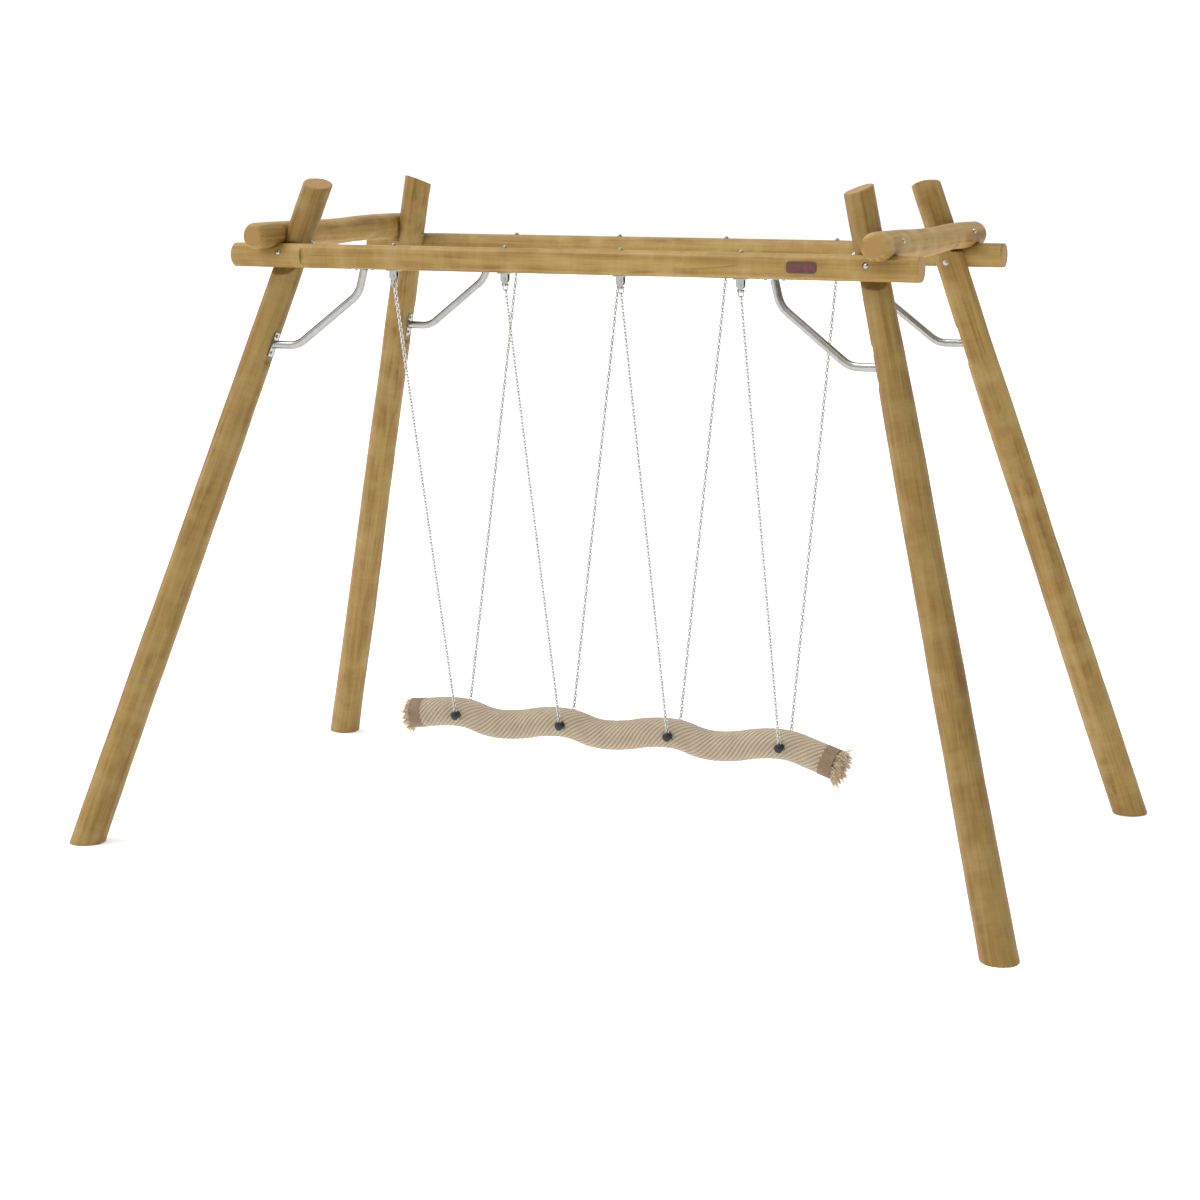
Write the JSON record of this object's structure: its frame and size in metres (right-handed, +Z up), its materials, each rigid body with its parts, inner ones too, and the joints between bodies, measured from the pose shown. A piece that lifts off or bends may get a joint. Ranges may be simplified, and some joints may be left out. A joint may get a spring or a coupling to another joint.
{
  "type": "swing set",
  "caption": "Log swing frame with splayed legs, twin beams and tube braces, carrying a thick rope seat that swings lengthwise on pairs of chains.",
  "frame": {"origin": "on the ground, in the middle of the four feet", "axes": "+X along the beams towards the end that carries the plaque, +Y from the front beam to the rear beam, +Z up"},
  "size_m": [4.4753, 2.6003, 3.0241],
  "materials": {
    "log_wood": "debarked and oiled robinia logs, lightly sanded",
    "tube_steel": "satin stainless tube",
    "fitting_steel": "stainless fasteners and hangers",
    "chain_steel": "satin stainless welded chain",
    "rope_fibre": "twisted beige rope cover, matte",
    "band_leather": "brown binding band, matte",
    "frayed_fibre": "loose tan fibres",
    "cap_plastic": "black moulded caps",
    "plaque_brown": "dark brown plaque",
    "plaque_inlay": "dark red blank inlay"
  },
  "bodies": {
    "frame": {"beam_front": "log_wood", "beam_rear": "log_wood", "brace_beam_plates": "fitting_steel", "brace_beam_screws": "fitting_steel", "brace_front_left": "tube_steel", "brace_front_right": "tube_steel", "brace_leg_plates": "fitting_steel", "brace_leg_screws": "fitting_steel", "brace_rear_left": "tube_steel", "brace_rear_right": "tube_steel", "cross_log_bolts": "fitting_steel", "cross_log_left": "log_wood", "cross_log_nuts": "fitting_steel", "cross_log_right": "log_wood", "cross_log_washers": "fitting_steel", "hanger_bolts": "fitting_steel", "hanger_brackets": "fitting_steel", "hanger_dome_nuts": "fitting_steel", "hanger_pins": "fitting_steel", "hanger_washers": "fitting_steel", "label_inlay": "plaque_inlay", "label_plate": "plaque_brown", "label_screws": "fitting_steel", "leg_beam_bolts": "fitting_steel", "leg_beam_nuts": "fitting_steel", "leg_beam_washers": "fitting_steel", "leg_front_left": "log_wood", "leg_front_right": "log_wood", "leg_rear_left": "log_wood", "leg_rear_right": "log_wood"},
    "chain_pair_1": {"chain_front_1": "chain_steel", "chain_rear_1": "chain_steel", "hanger_eyes_1": "fitting_steel", "seat_eyes_1": "fitting_steel", "top_shackles_1": "fitting_steel"},
    "chain_pair_2": {"chain_front_2": "chain_steel", "chain_rear_2": "chain_steel", "hanger_eyes_2": "fitting_steel", "seat_eyes_2": "fitting_steel", "top_shackles_2": "fitting_steel"},
    "chain_pair_3": {"chain_front_3": "chain_steel", "chain_rear_3": "chain_steel", "hanger_eyes_3": "fitting_steel", "seat_eyes_3": "fitting_steel", "top_shackles_3": "fitting_steel"},
    "chain_pair_4": {"chain_front_4": "chain_steel", "chain_rear_4": "chain_steel", "hanger_eyes_4": "fitting_steel", "seat_eyes_4": "fitting_steel", "top_shackles_4": "fitting_steel"},
    "rope_seat": {"cap_washers": "fitting_steel", "end_band_left": "band_leather", "end_band_right": "band_leather", "frayed_end_left": "frayed_fibre", "frayed_end_right": "frayed_fibre", "rope_body": "rope_fibre", "seat_bolts": "fitting_steel", "seat_caps": "cap_plastic", "seat_spacers": "fitting_steel", "seat_washers": "fitting_steel"}
  },
  "joints": [
    {"name": "swing_2", "type": "hinge", "parent": "frame", "child": "chain_pair_2", "pos_m": [-0.2735, 0, 2.6], "axis": [0, 1, 0], "range_deg": [-45, 45]},
    {"name": "swing_1", "type": "hinge", "parent": "frame", "child": "chain_pair_1", "pos_m": [-0.8205, 0, 2.6], "axis": [0, 1, 0], "range_deg": [-45, 45]},
    {"name": "swing_3", "type": "hinge", "parent": "frame", "child": "chain_pair_3", "pos_m": [0.2735, 0, 2.6], "axis": [0, 1, 0], "range_deg": [-45, 45]},
    {"name": "swing_4", "type": "hinge", "parent": "frame", "child": "chain_pair_4", "pos_m": [0.8205, 0, 2.6], "axis": [0, 1, 0], "range_deg": [-45, 45]},
    {"name": "seat_level", "type": "hinge", "parent": "chain_pair_2", "child": "rope_seat", "pos_m": [-0.2735, 0, 0.48], "axis": [0, 1, 0], "range_deg": [-45, 45]}
  ],
  "couplings": [
    {"joint": "swing_1", "follows": "swing_2", "ratio": 1},
    {"joint": "swing_3", "follows": "swing_2", "ratio": 1},
    {"joint": "swing_4", "follows": "swing_2", "ratio": 1},
    {"joint": "seat_level", "follows": "swing_2", "ratio": -1}
  ]
}
